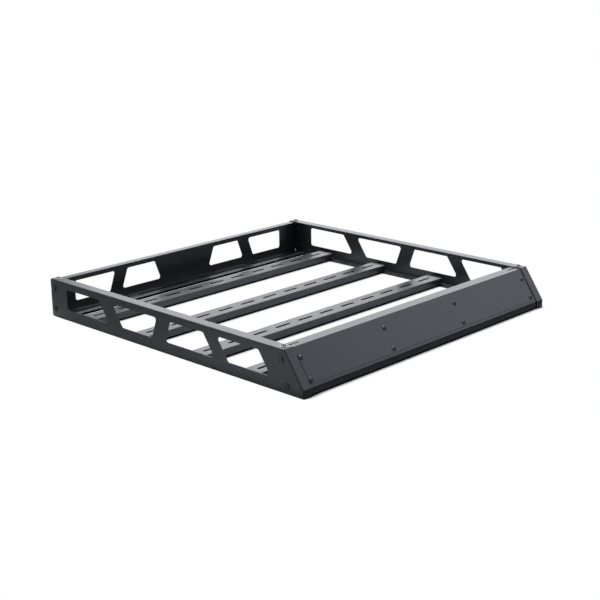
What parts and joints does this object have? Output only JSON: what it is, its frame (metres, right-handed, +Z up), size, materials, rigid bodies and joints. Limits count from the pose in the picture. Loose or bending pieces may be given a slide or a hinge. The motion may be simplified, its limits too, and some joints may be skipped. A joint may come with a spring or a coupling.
{
  "type": "vehicle roof rack",
  "caption": "Low open roof rack of folded black steel with pierced side and rear walls, slotted crossbars and a sloped front wind deflector.",
  "frame": {"origin": "middle of the rack's outside width and length, on the plane of its underside", "axes": "+X across the vehicle towards its far side in the picture, -Y towards the front where the deflector slopes down, +Z up"},
  "size_m": [1.25, 1.235, 0.138],
  "materials": {
    "coated_steel": "fine-textured satin black powder coat"
  },
  "bodies": {
    "root": {"side_panel_left": "coated_steel", "side_panel_right": "coated_steel", "rear_panel": "coated_steel", "front_panel": "coated_steel", "deflector_plate": "coated_steel", "crossbar_foremost": "coated_steel", "crossbar_front": "coated_steel", "crossbar_middle": "coated_steel", "crossbar_rear": "coated_steel"}
  },
  "joints": []
}
